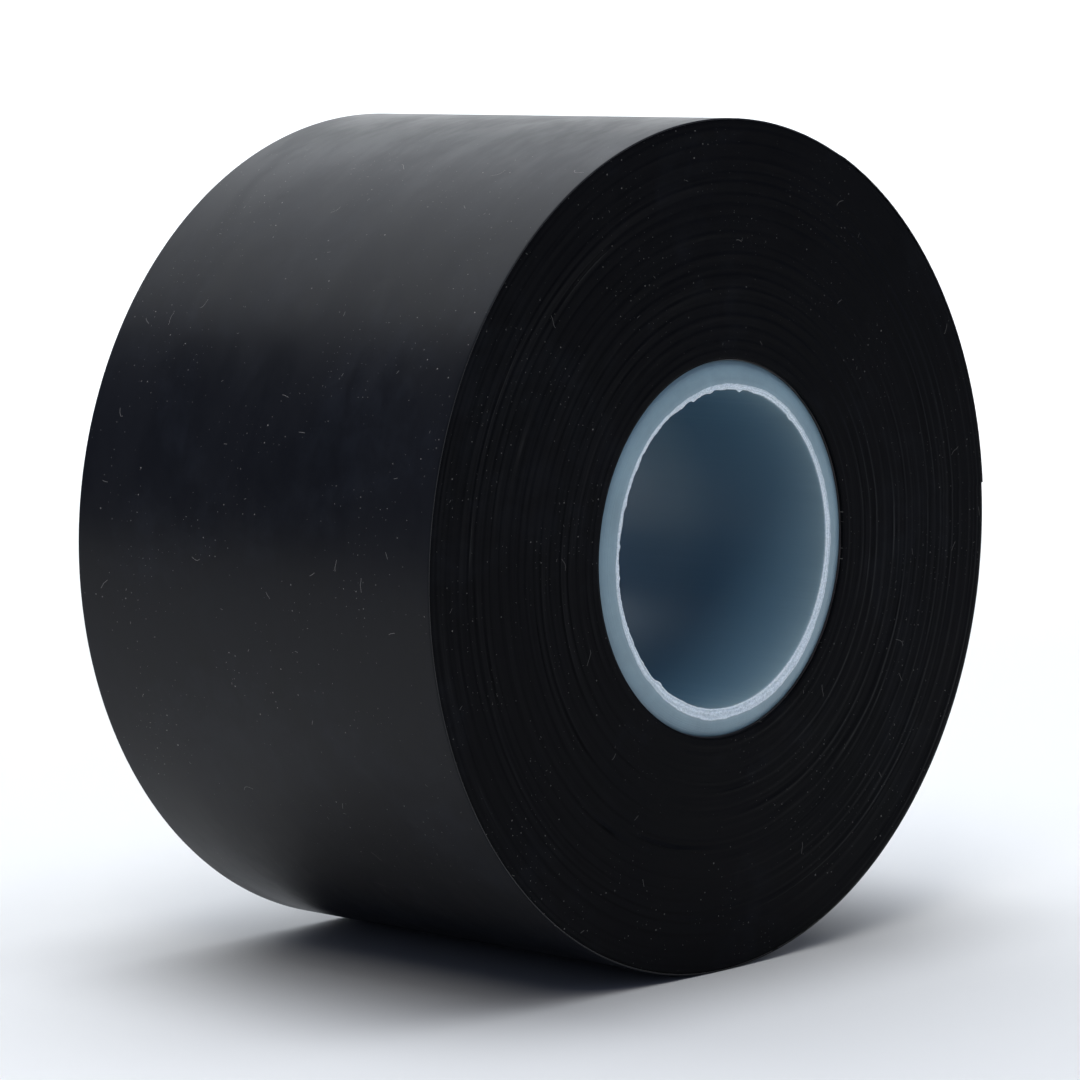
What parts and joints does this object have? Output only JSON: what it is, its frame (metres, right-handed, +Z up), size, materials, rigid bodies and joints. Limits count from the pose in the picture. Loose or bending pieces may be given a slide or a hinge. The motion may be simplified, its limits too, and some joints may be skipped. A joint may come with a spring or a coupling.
{
  "type": "electrical tape roll",
  "caption": "Wide roll of black PVC insulating tape wound on a pale plastic core with an open bore and torn cut rims, standing on its tread, with a free end that peels outwards.",
  "frame": {"origin": "the middle of the core's bore, half way along the roll's axis", "axes": "+Z up with the roll standing on its tread, +Y along the roll's axis, +X out of the side that the free end hangs down"},
  "size_m": [0.0884, 0.05, 0.0883],
  "materials": {
    "core_plastic": "natural blue-grey extruded plastic, slightly translucent, with a frosted torn rim",
    "tape_film": "black plasticised PVC film, satin on the tread and matt on the slit edges",
    "adhesive": "thin tacky rubber-resin layer, glossy"
  },
  "bodies": {
    "roll": {"core": "core_plastic", "first_turn_adhesive": "adhesive", "first_turn_film": "tape_film", "wound_turns": "tape_film", "last_turn_adhesive": "adhesive", "last_turn_film": "tape_film"},
    "free_end_1": {"free_end_film_1": "tape_film", "free_end_adhesive_1": "adhesive"},
    "free_end_2": {"free_end_film_2": "tape_film", "free_end_adhesive_2": "adhesive"},
    "free_end_3": {"free_end_film_3": "tape_film", "free_end_adhesive_3": "adhesive"},
    "free_end_4": {"free_end_film_4": "tape_film", "free_end_adhesive_4": "adhesive"},
    "free_end_5": {"free_end_film_5": "tape_film", "free_end_adhesive_5": "adhesive"},
    "free_end_6": {"free_end_film_6": "tape_film", "free_end_adhesive_6": "adhesive"},
    "free_end_7": {"free_end_film_7": "tape_film", "free_end_adhesive_7": "adhesive"},
    "free_end_8": {"free_end_film_8": "tape_film", "free_end_adhesive_8": "adhesive"}
  },
  "joints": [
    {"name": "peel_1", "type": "hinge", "parent": "roll", "child": "free_end_1", "pos_m": [0.01874, 0, 0.04014], "axis": [0, -1, 0], "range_deg": [0, 18.75]},
    {"name": "peel_2", "type": "hinge", "parent": "free_end_1", "child": "free_end_2", "pos_m": [0.02383, 0, 0.03735], "axis": [0, -1, 0], "range_deg": [0, 18.75]},
    {"name": "peel_3", "type": "hinge", "parent": "free_end_2", "child": "free_end_3", "pos_m": [0.0285, 0, 0.03392], "axis": [0, -1, 0], "range_deg": [0, 18.75]},
    {"name": "peel_4", "type": "hinge", "parent": "free_end_3", "child": "free_end_4", "pos_m": [0.03269, 0, 0.02992], "axis": [0, -1, 0], "range_deg": [0, 18.75]},
    {"name": "peel_5", "type": "hinge", "parent": "free_end_4", "child": "free_end_5", "pos_m": [0.03631, 0, 0.0254], "axis": [0, -1, 0], "range_deg": [0, 18.75]},
    {"name": "peel_6", "type": "hinge", "parent": "free_end_5", "child": "free_end_6", "pos_m": [0.03932, 0, 0.02044], "axis": [0, -1, 0], "range_deg": [0, 18.75]},
    {"name": "peel_7", "type": "hinge", "parent": "free_end_6", "child": "free_end_7", "pos_m": [0.04165, 0, 0.01514], "axis": [0, -1, 0], "range_deg": [0, 18.75]},
    {"name": "peel_8", "type": "hinge", "parent": "free_end_7", "child": "free_end_8", "pos_m": [0.04328, 0, 0.00957], "axis": [0, -1, 0], "range_deg": [0, 18.75]}
  ],
  "couplings": [
    {"joint": "peel_2", "follows": "peel_1", "ratio": 1},
    {"joint": "peel_3", "follows": "peel_1", "ratio": 1},
    {"joint": "peel_4", "follows": "peel_1", "ratio": 1},
    {"joint": "peel_5", "follows": "peel_1", "ratio": 1},
    {"joint": "peel_6", "follows": "peel_1", "ratio": 1},
    {"joint": "peel_7", "follows": "peel_1", "ratio": 1},
    {"joint": "peel_8", "follows": "peel_1", "ratio": 1}
  ]
}
